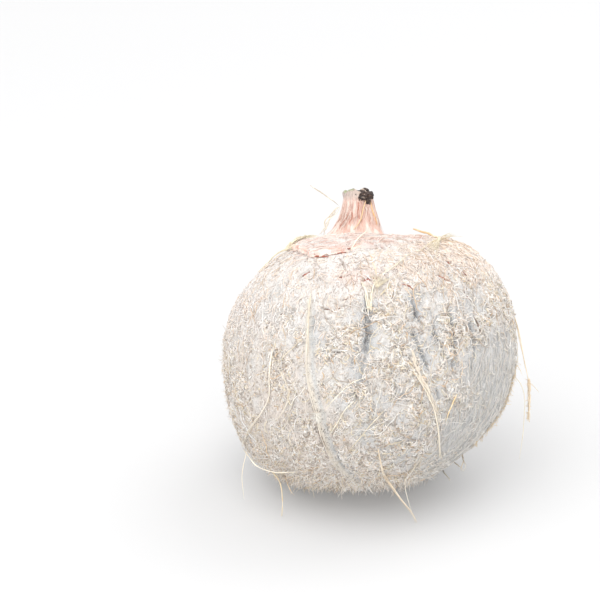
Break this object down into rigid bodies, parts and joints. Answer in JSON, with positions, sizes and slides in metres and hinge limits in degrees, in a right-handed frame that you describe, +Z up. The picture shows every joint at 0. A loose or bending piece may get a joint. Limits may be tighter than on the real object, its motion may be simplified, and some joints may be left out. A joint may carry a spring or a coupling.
{
  "type": "trimmed young coconut",
  "caption": "Round young coconut trimmed of its outer husk, with a short conical neck, a dry stalk end and a small flat spot underneath to rest on.",
  "frame": {"origin": "on the surface that the coconut rests on, under the middle of its bounding box", "axes": "+Z is up, away from the surface that it rests on. -Y is the front, the side that shows most of the husk, and the neck leans back towards +Y and a little towards -X. +X is to the right, seen from the front."},
  "size_m": [0.1198, 0.1166, 0.1184],
  "materials": {
    "husk": "matt pale cream plant fibre, pinkish round the neck and grey where the shell shows through",
    "dry_stalk": "dry dark brown crust"
  },
  "bodies": {
    "root": {"coconut": "husk", "stalk_stub": "dry_stalk"}
  },
  "joints": []
}
